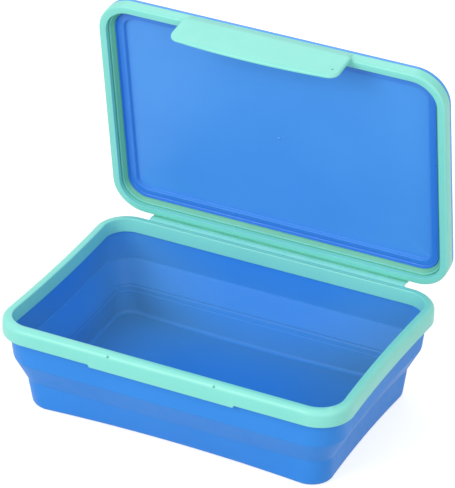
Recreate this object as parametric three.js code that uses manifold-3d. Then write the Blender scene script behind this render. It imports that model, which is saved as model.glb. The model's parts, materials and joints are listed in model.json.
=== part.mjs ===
// Collapsible pencil box: a soft walled tub that folds flat under a stiff rim, with a domed lid
// on a moulded hinge and a wide clasp flap. Millimetres, +Z up, +X along the box, the front at -Y.
// The origin is the centre of the tub's flat underside. The lid stands open.
import * as THREE from "three";
import * as BufferGeometryUtils from "three/addons/utils/BufferGeometryUtils.js";
import Module from "manifold-3d";

const wasm = await Module();
wasm.setup();

// The outline seen from above, shared by the rim and the lid
const BOX_LENGTH = 228;
const BOX_WIDTH = 157;
const BOX_HEIGHT = 63;
const OUTLINE_RADIUS = 21.4;

// Clearance between pieces that sit on or beside each other
const SEAT_GAP = 0.3;

// Stiff rim: a rolled top with an outer flange and an inner leg, open below
const FLANGE_DEPTH = 10.7;
const FLANGE_WALL = 1.7;
const FLANGE_EDGE_RADIUS = 0.5;
const CROWN_RADIUS = 3.6;
const CROWN_THICKNESS = 2;
const RIM_TOP_WIDTH = 6.1;
const RIM_INNER_EDGE_RADIUS = 0.8;
const LEG_DEPTH = 9;
const LEG_DRAFT = 1;
const LEG_WALL = 1.2;
const CATCH_HALF_LENGTH = 47;
const CATCH_DROP = 1.6;
const SHORT_SIDE_BOW = 1.4;

// Soft walls: an upright tier, a slanting fold band and the lower tub
const UPPER_TIER_DEPTH = 27.7;
const FOLD_BAND_DEPTH = 16.1;
const SOFT_WALL = 1.4;
const HEAD_DEPTH = 7;
const HEAD_SHOULDER_DROP = 1.6;
const FOLD_WALL = 1;
const UPPER_TIER_DRAFT = 0.8;
const FOLD_RUN = 8.2;
const TUB_WALL = 1.6;
const TUB_DRAFT = 1.6;
const FLOOR_THICKNESS = 1.8;
const BASE_EDGE_RADIUS = 3;
const FLOOR_CORNER_RADIUS = 3.4;
const WALL_LIP_RADIUS = 0.3;
const FOLD_CORNER_SWELL = 4;
const BASE_CORNER_SWELL = 5.6;
const BASE_LONG_SIDE_BOW = 4;

// Lid: a stiff frame ring under a skin that rises to a dome inside the ring
const LID_EDGE_HEIGHT = 10.8;
const SKIN_THICKNESS = 1.9;
const FRAME_EDGE_RADIUS = 0.5;
const FRAME_FACE_WIDTH = 5.1;
const FRAME_INNER_EDGE_RADIUS = 0.25;
const FRAME_TOP_WIDTH = 8.7;
const FRAME_MOUTH_DEPTH = 4.8;
const SEAL_GROOVE_DEPTH = 1.6;
const SEAL_GROOVE_WIDTH = 1.6;
const SEAL_RIB_HEIGHT = 0.9;
const SEAL_RIB_WIDTH = 0.7;
const SEAL_LEDGE_WIDTH = 0.4;
const SEAL_LEDGE_RISE = 0.4;
const SKIN_SETBACK = 0.6;
const SKIN_EDGE_RADIUS = 0.5;
const DOME_RISE = 0.6;
const DOME_FOOT_INSET = 9;
const DOME_SLOPE_RUN = 3;
const DOME_EDGE_RADIUS = 1.8;
const DOME_THICKNESS = 2;
const RECESS_FOOT_WIDTH = 0.6;
const RECESS_COVE_RUN = 1;
const RECESS_COVE_RISE = 2;
const RECESS_BORDER_RUN = 3;
const RECESS_BORDER_RISE = 0.9;
const RECESS_STEP_RUN = 0.5;
const RECESS_STEP_RADIUS = 0.4;

// Hinge: a thin web that bends about one line behind and below the rim's back edge
const HINGE_BACK = 1.7;
const HINGE_DROP = 1.9;
const HINGE_HALF_LENGTH = 87;
const LID_OPEN_ANGLE = THREE.MathUtils.degToRad(80.3);
const WEB_THICKNESS = 0.9;
const LEAF_REACH = 0.6;
const LEAF_THICKNESS = 1.8;
const RIM_LEAF_DROP = 2.2;
const LID_LEAF_RISE = 1.5;
const LID_LEAF_ROOT = 2.4;
const WEB_LEAVE_LENGTH = 2.2;

// Clasp: a wide flap that hangs over the flange, with a hook bead under the catch
const CLASP_HALF_LENGTH = 54.8;
const CLASP_THICKNESS = 2;
const CLASP_DROP = 21.4;
const CLASP_BOW = 2.8;
const CLASP_CORNER_RADIUS = 6;
const CLASP_CLEARANCE = 0.4;
const CLASP_FLEX_HEIGHT = 6.6;
const CLASP_FLEX_RADIUS = 1;
const CLASP_SIDE_GAP = 0.6;
const HOOK_HALF_LENGTH = 45;
const HOOK_REACH = 1.6;
const HOOK_HEIGHT = 2.4;
const HOOK_CREST_SHARES = [0.25, 0.5];

// Smoothness and the length by which cutting shapes run past what they cut
const CORNER_STEPS = 8;
const SIDE_STEPS = 6;
const FILLET_STEPS = 3;
const WEB_STEPS = 8;
const BOW_STEPS = 12;
const OVERRUN = 5;

// Places worked out from the sizes above
const halfLength = BOX_LENGTH / 2;
const halfWidth = BOX_WIDTH / 2;
const flangeFoot = BOX_HEIGHT - FLANGE_DEPTH;
const upperFold = BOX_HEIGHT - UPPER_TIER_DEPTH;
const lowerFold = upperFold - FOLD_BAND_DEPTH;
const legFootInset = RIM_TOP_WIDTH + LEG_DRAFT;
const upperWallInset = legFootInset - LEG_WALL - SEAT_GAP - SOFT_WALL;
const tierFootInset = upperWallInset + UPPER_TIER_DRAFT;
const lowerWallInset = tierFootInset + FOLD_RUN;
const baseInset = lowerWallInset + TUB_DRAFT;
const frameTop = LID_EDGE_HEIGHT - SKIN_THICKNESS - SEAT_GAP;
const skinUnderside = frameTop + SEAT_GAP;
const domeTop = LID_EDGE_HEIGHT + DOME_RISE;
const hingeY = halfWidth + HINGE_BACK;
const hingeZ = BOX_HEIGHT - HINGE_DROP;
const lidPlane = BOX_HEIGHT + SEAT_GAP;

const teal = { color: 0x8fe8d8, roughness: 0.42, metalness: 0 };
const softBlue = { color: 0x3f86dc, roughness: 0.62, metalness: 0 };
const lidBlue = { color: 0x4690e6, roughness: 0.5, metalness: 0 };

/** Replaces each sharp corner [inset, height, radius] of a profile with an arc. */
function soften(corners, closed = true) {
  const points = [];
  corners.forEach(([inset, height, radius = 0], i) => {
    const here = new THREE.Vector2(inset, height);
    const atEnd = !closed && (i === 0 || i === corners.length - 1);
    if (radius === 0 || atEnd) {
      points.push(here);
      return;
    }
    const before = corners[(i + corners.length - 1) % corners.length];
    const after = corners[(i + 1) % corners.length];
    const back = new THREE.Vector2(before[0], before[1]).sub(here);
    const ahead = new THREE.Vector2(after[0], after[1]).sub(here);
    points.push(...arcBetween(here, back, ahead, radius));
  });
  return points;
}

/** The arc of one softened corner, no larger than its two sides allow. */
function arcBetween(corner, back, ahead, radius) {
  const halfAngle = Math.abs(back.angleTo(ahead)) / 2;
  const room = Math.min(back.length(), ahead.length()) / 2;
  const cut = Math.min(radius / Math.tan(halfAngle), room);
  const start = corner.clone().addScaledVector(back.clone().normalize(), cut);
  const end = corner.clone().addScaledVector(ahead.clone().normalize(), cut);
  const curve = new THREE.QuadraticBezierCurve(start, corner, end);
  return curve.getPoints(FILLET_STEPS);
}

/** How much rounder the soft walls' corners are than the rim's, at a height. */
function cornerSwell(height) {
  if (height >= flangeFoot) return 0;
  if (height >= upperFold) {
    return THREE.MathUtils.mapLinear(height, flangeFoot, upperFold, 0, FOLD_CORNER_SWELL);
  }
  if (height >= lowerFold) return FOLD_CORNER_SWELL;
  return THREE.MathUtils.mapLinear(height, 0, lowerFold, BASE_CORNER_SWELL, FOLD_CORNER_SWELL);
}

/** How far the long walls' middles are drawn in at a height, from the lower fold down. */
function longSideBow(height) {
  if (height >= lowerFold) return 0;
  return THREE.MathUtils.mapLinear(height, 0, lowerFold, BASE_LONG_SIDE_BOW, 0);
}

// What each moulding does to the outline: rounder corners, and short or long sides drawn in
const lidForm = { swell: () => 0, shortBow: 0, longBow: () => 0 };
const rimForm = { swell: () => 0, shortBow: SHORT_SIDE_BOW, longBow: () => 0 };
const softForm = { swell: cornerSwell, shortBow: SHORT_SIDE_BOW, longBow: longSideBow };

/** A rounded rectangle drawn in from the box's outline by an inset, as a ring of points. */
function outlineRing(inset, height, form) {
  const radius = OUTLINE_RADIUS - inset + form.swell(height);
  const centreX = halfLength - inset - radius;
  const centreY = halfWidth - inset - radius;
  const quadrants = [[1, 1], [-1, 1], [-1, -1], [1, -1]];
  return quadrants.flatMap(([signX, signY], quadrant) => {
    const corner = Array.from({ length: CORNER_STEPS + 1 }, (_, step) => {
      const angle = (Math.PI / 2) * (quadrant + step / CORNER_STEPS);
      const x = signX * centreX + radius * Math.cos(angle);
      return new THREE.Vector3(x, signY * centreY + radius * Math.sin(angle), height);
    });
    const sideRun = Array.from({ length: SIDE_STEPS - 1 }, (_, step) => {
      const along = 1 - (2 * (step + 1)) / SIDE_STEPS;
      const bow = quadrant % 2 ? form.shortBow : form.longBow(height);
      const reach = radius - bow * (1 - along * along);
      const x = quadrant % 2 ? centreX + reach : centreX * along;
      const y = quadrant % 2 ? centreY * along : centreY + reach;
      return new THREE.Vector3(signX * x, signY * y, height);
    });
    return [...corner, ...sideRun];
  });
}

/** Joins rings of points into one closed mesh, as a hoop or with both ends capped. */
function skinRings(rings, capped) {
  const count = rings[0].length;
  const positions = rings.flat().flatMap((point) => point.toArray());
  const triangles = [];
  const bands = capped ? rings.length - 1 : rings.length;
  for (let band = 0; band < bands; band += 1) {
    const lower = band * count;
    const upper = ((band + 1) % rings.length) * count;
    for (let i = 0; i < count; i += 1) {
      const next = (i + 1) % count;
      triangles.push([lower + i, lower + next, upper + next]);
      triangles.push([lower + i, upper + next, upper + i]);
    }
  }
  if (capped) {
    const last = (rings.length - 1) * count;
    const ends = [positions.length / 3, positions.length / 3 + 1];
    positions.push(0, 0, rings[0][0].z, 0, 0, rings.at(-1)[0].z);
    for (let i = 0; i < count; i += 1) {
      const next = (i + 1) % count;
      triangles.push([ends[0], next, i]);
      triangles.push([ends[1], last + i, last + next]);
    }
  }
  return facingOut(positions, triangles);
}

/** A geometry from points and triangles, turned so that its faces point out. */
function facingOut(positions, triangles) {
  const corner = (index) => new THREE.Vector3().fromArray(positions, index * 3);
  const volume = triangles.reduce((sum, [a, b, c]) => {
    return sum + corner(a).dot(corner(b).cross(corner(c)));
  }, 0);
  const turned = volume < 0 ? triangles.map(([a, b, c]) => [a, c, b]) : triangles;
  const geometry = new THREE.BufferGeometry();
  geometry.setAttribute("position", new THREE.Float32BufferAttribute(positions, 3));
  geometry.setIndex(turned.flat());
  return geometry;
}

/** Sweeps a closed profile of insets and heights round the box's outline. */
function hoop(corners, form) {
  const rings = soften(corners).map((p) => outlineRing(p.x, p.y, form));
  return skinRings(rings, false);
}

/** Sweeps an open profile round the outline and closes both of its ends flat. */
function dish(corners, form) {
  const rings = soften(corners, false).map((p) => outlineRing(p.x, p.y, form));
  return skinRings(rings, true);
}

/** Extrudes a closed outline of [y, z] points along X, centred on the box. */
function barAlongX(points, halfLength) {
  const shape = new THREE.Shape(points.map(([y, z]) => new THREE.Vector2(y, z)));
  const bar = new THREE.ExtrudeGeometry(shape, { depth: 2 * halfLength, bevelEnabled: false });
  bar.translate(0, 0, -halfLength);
  const across = new THREE.Vector3(0, 1, 0);
  const up = new THREE.Vector3(0, 0, 1);
  const along = new THREE.Vector3(1, 0, 0);
  return bar.applyMatrix4(new THREE.Matrix4().makeBasis(across, up, along));
}

/** The four corners of a rectangle in the Y and Z directions. */
function rectangle(y0, y1, z0, z1) {
  return [[y0, z0], [y1, z0], [y1, z1], [y0, z1]];
}

/** Makes a solid of a closed geometry, for joining and cutting. */
function toSolid(geometry) {
  const bare = new THREE.BufferGeometry();
  bare.setAttribute("position", geometry.getAttribute("position"));
  bare.setIndex(geometry.getIndex());
  const merged = BufferGeometryUtils.mergeVertices(bare);
  const vertProperties = new Float32Array(merged.getAttribute("position").array);
  const triVerts = new Uint32Array(merged.getIndex().array);
  return new wasm.Manifold(new wasm.Mesh({ numProp: 3, vertProperties, triVerts }));
}

/** Turns a joined or cut solid back into a geometry. */
function toGeometry(solid) {
  const mesh = solid.getMesh();
  const geometry = new THREE.BufferGeometry();
  geometry.setAttribute("position", new THREE.BufferAttribute(mesh.vertProperties, 3));
  geometry.setIndex(new THREE.BufferAttribute(mesh.triVerts, 1));
  return geometry;
}

function rimProfile() {
  const legFoot = BOX_HEIGHT - LEG_DEPTH;
  const roof = BOX_HEIGHT - CROWN_THICKNESS;
  const legTopInset = legInsetAt(roof) - LEG_WALL;
  return [
    [0, flangeFoot, FLANGE_EDGE_RADIUS],
    [0, BOX_HEIGHT, CROWN_RADIUS],
    [RIM_TOP_WIDTH, BOX_HEIGHT, RIM_INNER_EDGE_RADIUS],
    [legFootInset, legFoot, FLANGE_EDGE_RADIUS],
    [legFootInset - LEG_WALL, legFoot],
    [legTopInset, roof, FLANGE_EDGE_RADIUS],
    [FLANGE_WALL, roof, FLANGE_EDGE_RADIUS],
    [FLANGE_WALL, flangeFoot],
  ];
}

/** Inset of the rim leg's inner face, which leans inward as it goes down. */
function legInsetAt(height) {
  return RIM_TOP_WIDTH + (LEG_DRAFT * (BOX_HEIGHT - height)) / LEG_DEPTH;
}

/** The rim with its catch ledge in front and the root of the hinge web behind. */
function rimFrame() {
  const catchBar = barAlongX(
    rectangle(-halfWidth, FLANGE_WALL - halfWidth, flangeFoot - CATCH_DROP, flangeFoot + FLANGE_WALL),
    CATCH_HALF_LENGTH,
  );
  const leafMiddle = BOX_HEIGHT - RIM_LEAF_DROP;
  const leaf = barAlongX(
    rectangle(
      halfWidth - CROWN_RADIUS,
      halfWidth + LEAF_REACH,
      leafMiddle - LEAF_THICKNESS / 2,
      leafMiddle + LEAF_THICKNESS / 2,
    ),
    HINGE_HALF_LENGTH,
  );
  const channel = hoop(channelProfile(), rimForm);
  const joined = toSolid(hoop(rimProfile(), rimForm)).add(toSolid(catchBar));
  return toGeometry(joined.add(toSolid(leaf).subtract(toSolid(channel))));
}

/** The space under the rim's crown that the soft wall's head fills. */
function channelProfile() {
  const roof = BOX_HEIGHT - CROWN_THICKNESS;
  const below = flangeFoot - OVERRUN;
  return [
    [FLANGE_WALL, below],
    [FLANGE_WALL, roof],
    [legInsetAt(roof) - LEG_WALL, roof],
    [legFootInset - LEG_WALL, below],
  ];
}

/** The upright tier, with a thick head locked in the rim's channel. */
function upperWall() {
  const headTop = BOX_HEIGHT - CROWN_THICKNESS - SEAT_GAP;
  const headOuter = FLANGE_WALL + SEAT_GAP;
  const headInner = legInsetAt(headTop) - LEG_WALL - SEAT_GAP;
  const headFoot = BOX_HEIGHT - HEAD_DEPTH;
  const foot = upperFold + SEAT_GAP / 2;
  return hoop([
    [headOuter, headTop, FLANGE_EDGE_RADIUS],
    [headInner, headTop, FLANGE_EDGE_RADIUS],
    [upperWallInset + SOFT_WALL, BOX_HEIGHT - LEG_DEPTH],
    [tierFootInset + SOFT_WALL, foot, WALL_LIP_RADIUS],
    [tierFootInset, foot, WALL_LIP_RADIUS],
    [upperWallInset, headFoot - HEAD_SHOULDER_DROP],
    [headOuter, headFoot, FLANGE_EDGE_RADIUS],
  ], softForm);
}

/** The thin band that turns inside out when the box is pressed flat. */
function foldWall() {
  const top = upperFold - SEAT_GAP / 2;
  const foot = lowerFold + SEAT_GAP / 2;
  const topInset = tierFootInset + (SOFT_WALL - FOLD_WALL) / 2;
  const footInset = lowerWallInset + (TUB_WALL - FOLD_WALL) / 2;
  return hoop([
    [topInset, top, WALL_LIP_RADIUS],
    [topInset + FOLD_WALL, top, WALL_LIP_RADIUS],
    [footInset + FOLD_WALL, foot, WALL_LIP_RADIUS],
    [footInset, foot, WALL_LIP_RADIUS],
  ], softForm);
}

/** The lower tub: drafted walls, a rounded base edge and a flat floor. */
function lowerTub() {
  const lip = lowerFold - SEAT_GAP / 2;
  const flatInset = baseInset + 2 * BASE_EDGE_RADIUS;
  const floorInset = baseInset + TUB_WALL + 2 * FLOOR_CORNER_RADIUS;
  return dish([
    [flatInset, 0],
    [baseInset, 0, BASE_EDGE_RADIUS],
    [lowerWallInset, lip, WALL_LIP_RADIUS],
    [lowerWallInset + TUB_WALL, lip, WALL_LIP_RADIUS],
    [baseInset + TUB_WALL, FLOOR_THICKNESS, FLOOR_CORNER_RADIUS],
    [floorInset, FLOOR_THICKNESS],
  ], softForm);
}

function lidFrameProfile() {
  const grooveInset = FRAME_FACE_WIDTH + SEAL_GROOVE_WIDTH;
  const ribInset = grooveInset + SEAL_RIB_WIDTH;
  const ribCrest = SEAL_GROOVE_DEPTH - SEAL_RIB_HEIGHT;
  const plainInset = ribInset + SEAL_LEDGE_WIDTH;
  const plainFoot = ribCrest + SEAL_LEDGE_RISE;
  return [
    [0, 0, FRAME_EDGE_RADIUS],
    [0, frameTop],
    [FRAME_TOP_WIDTH, frameTop],
    [FRAME_TOP_WIDTH, FRAME_MOUTH_DEPTH],
    [plainInset, plainFoot],
    [ribInset, plainFoot],
    [ribInset, ribCrest],
    [grooveInset, ribCrest],
    [grooveInset, SEAL_GROOVE_DEPTH],
    [FRAME_FACE_WIDTH, SEAL_GROOVE_DEPTH],
    [FRAME_FACE_WIDTH, 0, FRAME_INNER_EDGE_RADIUS],
  ];
}

/** The lid's frame ring, relieved in front for the clasp and carrying the web behind. */
function lidFrame() {
  const pocketDepth = 2 * CLASP_FLEX_RADIUS + SEAT_GAP;
  const pocket = barAlongX(
    rectangle(-halfWidth - OVERRUN, pocketDepth - halfWidth, -OVERRUN, frameTop + OVERRUN),
    CLASP_HALF_LENGTH + CLASP_SIDE_GAP,
  );
  const leaf = barAlongX(
    rectangle(
      halfWidth - LID_LEAF_ROOT,
      halfWidth + LEAF_REACH,
      LID_LEAF_RISE - LEAF_THICKNESS / 2,
      LID_LEAF_RISE + LEAF_THICKNESS / 2,
    ),
    HINGE_HALF_LENGTH,
  );
  const ring = toSolid(hoop(lidFrameProfile(), lidForm)).add(toSolid(leaf));
  return toGeometry(ring.subtract(toSolid(pocket)));
}

/** The lid's skin: set back from the frame's edge, a low dome outside, a stepped recess inside. */
function lidPanel() {
  const recessTop = domeTop - DOME_THICKNESS;
  const footInset = FRAME_TOP_WIDTH + SEAT_GAP;
  const coveStart = footInset + RECESS_FOOT_WIDTH;
  const coveEnd = coveStart + RECESS_COVE_RUN;
  const coveTop = FRAME_MOUTH_DEPTH + RECESS_COVE_RISE;
  const borderEnd = coveEnd + RECESS_BORDER_RUN;
  const flatInset = borderEnd + RECESS_STEP_RUN + DOME_EDGE_RADIUS;
  return dish([
    [flatInset, domeTop],
    [DOME_FOOT_INSET + DOME_SLOPE_RUN, domeTop, DOME_EDGE_RADIUS],
    [DOME_FOOT_INSET, LID_EDGE_HEIGHT, DOME_EDGE_RADIUS],
    [SKIN_SETBACK, LID_EDGE_HEIGHT, SKIN_EDGE_RADIUS],
    [SKIN_SETBACK, skinUnderside],
    [footInset, skinUnderside],
    [footInset, FRAME_MOUTH_DEPTH],
    [coveStart, FRAME_MOUTH_DEPTH],
    [coveEnd, coveTop, RECESS_STEP_RADIUS],
    [borderEnd, coveTop + RECESS_BORDER_RISE, RECESS_STEP_RADIUS],
    [borderEnd + RECESS_STEP_RUN, recessTop, RECESS_STEP_RADIUS],
    [flatInset, recessTop],
  ], lidForm);
}

/** Turns a [y, z] place on the closed lid to where the open lid carries it. */
function onOpenLid(y, z) {
  const arm = new THREE.Vector2(y - hingeY, z - hingeZ);
  return arm.rotateAround(new THREE.Vector2(), -LID_OPEN_ANGLE).add(new THREE.Vector2(hingeY, hingeZ));
}

/** The hinge web between the rim's leaf and the lid's, curved as it lies with the lid open. */
function livingHinge() {
  const outward = halfWidth + LEAF_REACH + SEAT_GAP;
  const start = new THREE.Vector2(outward, BOX_HEIGHT - RIM_LEAF_DROP);
  const end = onOpenLid(outward, lidPlane + LID_LEAF_RISE);
  const leaveLid = onOpenLid(outward + WEB_LEAVE_LENGTH, lidPlane + LID_LEAF_RISE);
  const leaveRim = start.clone().add(new THREE.Vector2(WEB_LEAVE_LENGTH, 0));
  const middle = new THREE.CubicBezierCurve(start, leaveRim, leaveLid, end);
  const upper = [];
  const lower = [];
  for (let step = 0; step <= WEB_STEPS; step += 1) {
    const point = middle.getPoint(step / WEB_STEPS);
    const along = middle.getTangent(step / WEB_STEPS);
    const side = new THREE.Vector2(-along.y, along.x).multiplyScalar(WEB_THICKNESS / 2);
    upper.push(point.clone().add(side).toArray());
    lower.unshift(point.clone().sub(side).toArray());
  }
  return barAlongX([...lower, ...upper], HINGE_HALF_LENGTH);
}

/** Section of the clasp flap, in Y and height above the lid's lower face. */
function claspSection() {
  const innerFace = -halfWidth - CLASP_CLEARANCE;
  const outerFace = innerFace - CLASP_THICKNESS;
  const flexY = CLASP_FLEX_RADIUS - halfWidth;
  const section = new THREE.Path();
  section.moveTo(outerFace, -CLASP_DROP - CLASP_BOW - OVERRUN);
  section.lineTo(innerFace, -CLASP_DROP - CLASP_BOW - OVERRUN);
  section.lineTo(innerFace, -CLASP_CLEARANCE);
  section.lineTo(flexY + CLASP_FLEX_RADIUS, CLASP_FLEX_HEIGHT - CLASP_THICKNESS);
  section.lineTo(flexY + CLASP_FLEX_RADIUS, CLASP_FLEX_HEIGHT);
  section.absarc(flexY, CLASP_FLEX_HEIGHT, CLASP_FLEX_RADIUS, 0, Math.PI, false);
  section.lineTo(outerFace, CLASP_CLEARANCE);
  return section.getPoints(FILLET_STEPS).map((point) => point.toArray());
}

/** Front view of the flap: a wide tongue with round corners and a bowed free edge. */
function claspOutline() {
  const low = -CLASP_DROP;
  const corner = CLASP_CORNER_RADIUS;
  const side = CLASP_HALF_LENGTH;
  const shape = new THREE.Shape();
  shape.moveTo(-side, LID_EDGE_HEIGHT);
  shape.lineTo(-side, low + corner);
  shape.quadraticCurveTo(-side, low, corner - side, low);
  shape.quadraticCurveTo(0, low - 2 * CLASP_BOW, side - corner, low);
  shape.quadraticCurveTo(side, low, side, low + corner);
  shape.lineTo(side, LID_EDGE_HEIGHT);
  const depth = CLASP_THICKNESS + 2 * CLASP_FLEX_RADIUS + 2 * OVERRUN;
  const plate = new THREE.ExtrudeGeometry(shape, {
    depth,
    bevelEnabled: false,
    curveSegments: BOW_STEPS,
  });
  plate.rotateX(Math.PI / 2);
  return plate.translate(0, depth / 2 - halfWidth, 0);
}

/** The bead along the flap's inner side that snaps under the rim's catch. */
function claspHook() {
  const face = -halfWidth - CLASP_CLEARANCE;
  const top = -(FLANGE_DEPTH + CATCH_DROP + SEAT_GAP + CLASP_CLEARANCE);
  const root = face - CLASP_THICKNESS / 2;
  const crest = HOOK_CREST_SHARES.map((share) => [face + HOOK_REACH, top - share * HOOK_HEIGHT]);
  return barAlongX([[root, top], ...crest, [root, top - HOOK_HEIGHT]], HOOK_HALF_LENGTH);
}

function claspFlap() {
  const bar = toSolid(barAlongX(claspSection(), CLASP_HALF_LENGTH + OVERRUN));
  const flap = bar.intersect(toSolid(claspOutline()));
  return toGeometry(flap.add(toSolid(claspHook())));
}

/** Adds one named piece to a group. */
function addPiece(group, name, geometry, finish) {
  const mesh = new THREE.Mesh(geometry, new THREE.MeshStandardMaterial(finish));
  mesh.name = name;
  group.add(mesh);
}

const box = new THREE.Group();
addPiece(box, "rim_frame", rimFrame(), teal);
addPiece(box, "upper_wall", upperWall(), softBlue);
addPiece(box, "fold_wall", foldWall(), softBlue);
addPiece(box, "lower_tub", lowerTub(), softBlue);
addPiece(box, "living_hinge", livingHinge(), teal);

const openLid = new THREE.Group();
openLid.position.set(0, hingeY, hingeZ);
openLid.rotation.x = -LID_OPEN_ANGLE;
box.add(openLid);

const closedLid = new THREE.Group();
closedLid.position.set(0, -hingeY, lidPlane - hingeZ);
openLid.add(closedLid);
addPiece(closedLid, "lid_frame", lidFrame(), teal);
addPiece(closedLid, "lid_panel", lidPanel(), lidBlue);
addPiece(closedLid, "clasp_flap", claspFlap(), teal);

export default box;
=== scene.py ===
# %% [markdown]
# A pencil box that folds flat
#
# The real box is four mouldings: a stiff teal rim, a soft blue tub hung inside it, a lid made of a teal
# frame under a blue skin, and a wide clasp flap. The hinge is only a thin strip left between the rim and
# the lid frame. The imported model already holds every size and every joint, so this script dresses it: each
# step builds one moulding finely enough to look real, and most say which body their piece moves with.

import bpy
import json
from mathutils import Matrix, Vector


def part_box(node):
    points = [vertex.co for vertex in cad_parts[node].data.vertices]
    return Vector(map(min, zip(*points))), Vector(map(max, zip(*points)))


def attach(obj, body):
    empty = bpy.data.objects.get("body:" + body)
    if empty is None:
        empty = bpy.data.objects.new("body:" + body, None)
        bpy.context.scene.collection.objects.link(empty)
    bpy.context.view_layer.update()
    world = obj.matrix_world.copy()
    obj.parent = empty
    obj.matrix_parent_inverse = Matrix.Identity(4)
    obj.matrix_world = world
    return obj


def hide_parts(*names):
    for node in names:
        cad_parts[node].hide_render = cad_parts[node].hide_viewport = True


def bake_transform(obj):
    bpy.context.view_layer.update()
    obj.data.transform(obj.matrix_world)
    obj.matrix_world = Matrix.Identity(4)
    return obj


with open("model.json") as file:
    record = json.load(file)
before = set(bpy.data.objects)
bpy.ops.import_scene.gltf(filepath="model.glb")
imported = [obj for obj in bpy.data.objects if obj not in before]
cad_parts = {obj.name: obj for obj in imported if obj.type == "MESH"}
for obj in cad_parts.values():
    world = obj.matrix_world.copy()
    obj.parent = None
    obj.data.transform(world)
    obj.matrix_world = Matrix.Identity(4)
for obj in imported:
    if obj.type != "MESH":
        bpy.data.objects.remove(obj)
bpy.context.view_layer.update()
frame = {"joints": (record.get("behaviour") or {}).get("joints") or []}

# %% [markdown]
# Sizes from the frame
#
# A dressed piece has to sit exactly where its solid sits. The overall sizes are therefore read off the
# solids and not typed again, so they follow if the model is packed with other sizes. Lengths here are in
# millimetres, because that is how a moulding is drawn, and each mesh is scaled to metres as it is made.

# %% Read the driving sizes
import json
import math

import bmesh
import bpy
from mathutils import Matrix, Vector

MM = 0.001


def span(node):
    """The low and high corners of a solid's box, in millimetres."""
    low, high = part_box(node)
    return low / MM, high / MM


rim_low, rim_high = span("rim_frame")
half_length = rim_high.x
half_width = -rim_low.y
rim_top = rim_high.z
upper_fold = (span("upper_wall")[0].z + span("fold_wall")[1].z) / 2
lower_fold = (span("fold_wall")[0].z + span("lower_tub")[1].z) / 2
hinge_half_length = span("living_hinge")[1].x
clasp_half_length = span("clasp_flap")[1].x
print(f"outline {2 * half_length:.1f} x {2 * half_width:.1f}, rim top {rim_top:.1f}")
print(f"folds at {upper_fold:.1f} and {lower_fold:.1f}")

# %% [markdown]
# The lid stands open, but a lid is far easier to draw closed. Every lid piece is drawn flat on the rim and
# then turned about the hinge line to where the open lid is. The hinge line and the angle both come from the
# joint: its lower limit is the closed lid, and rest is the open one. The turn is kept twice, for points in
# millimetres and for finished meshes in metres.

# %% The turn that opens the lid
SEAT_GAP = 0.3

joint = {each["name"]: each for each in frame["joints"]}["lid_hinge"]
hinge_line = Vector(joint["pos_m"]) / MM
open_angle = math.radians(joint["range_deg"][0])
lid_plane = rim_top + SEAT_GAP
turn = Matrix.Translation(hinge_line) @ Matrix.Rotation(open_angle, 4, "X")
open_lid = turn @ Matrix.Translation(-hinge_line)
open_in_metres = Matrix.Scale(MM, 4) @ open_lid @ Matrix.Scale(1 / MM, 4)
print(f"lid opened by {math.degrees(-open_angle):.1f} degrees")
print(f"about y {hinge_line.y:.2f}, z {hinge_line.z:.2f}")

# %% [markdown]
# Satin plastic
#
# The rim, the lid frame and the clasp are one kind of plastic, bright and satin. Real mouldings are never
# one flat colour: the pigment drifts a little over some centimetres, the tool leaves a very fine grain, and
# the edges that hands rub turn paler. In hollows, where the piece shelters itself, the colour also moves to
# a shade tone, which is painted shade. A node material makes all four by formula, so it needs no image and
# holds at any distance. The grain is in real size, because the coordinates are in metres.

# %% Colours, clouds and mixes
NOISE_LOW = 0.3
NOISE_HIGH = 0.7
NOISE_DETAIL = 3


def linear(red, green, blue):
    """The linear colour of an sRGB colour given in parts of 255."""
    shares = (red / 255, green / 255, blue / 255)
    return [s / 12.92 if s < 0.04045 else ((s + 0.055) / 1.055) ** 2.4 for s in shares] + [1.0]


def noise_between(tree, place, size, low, high):
    """A cloudy value that runs from low to high, with clouds about size metres across."""
    noise = tree.nodes.new("ShaderNodeTexNoise")
    noise.inputs["Scale"].default_value = 1 / size
    noise.inputs["Detail"].default_value = NOISE_DETAIL
    tree.links.new(place, noise.inputs["Vector"])
    levels = tree.nodes.new("ShaderNodeMapRange")
    levels.inputs["From Min"].default_value = NOISE_LOW
    levels.inputs["From Max"].default_value = NOISE_HIGH
    levels.inputs["To Min"].default_value = low
    levels.inputs["To Max"].default_value = high
    tree.links.new(noise.outputs["Fac"], levels.inputs["Value"])
    return levels.outputs["Result"]


def mixed(tree, share, first, second):
    """Mixes two colours, each a socket or a plain colour, by a share.

    The node keeps the sockets of its other data types too, so a colour mix has its share at 0, its colours
    at 6 and 7, and its result at 2.
    """
    mix = tree.nodes.new("ShaderNodeMix")
    mix.data_type = "RGBA"
    tree.links.new(share, mix.inputs[0])
    for socket, colour in ((mix.inputs[6], first), (mix.inputs[7], second)):
        if isinstance(colour, bpy.types.NodeSocket):
            tree.links.new(colour, socket)
        else:
            socket.default_value = colour
    return mix.outputs[2]


print("clouds use noise values from", NOISE_LOW, "to", NOISE_HIGH)

# %% Worn edges, grain and painted shade in sheltered places
FLAT_POINTINESS = 0.5
WEAR_PATCH = 0.012
LEAST_WEAR_SHARE = 0.4
SHELTER_RAYS = 8
OPEN_SHARE = 0.9
SHUT_IN_SHARE = 0.4


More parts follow.
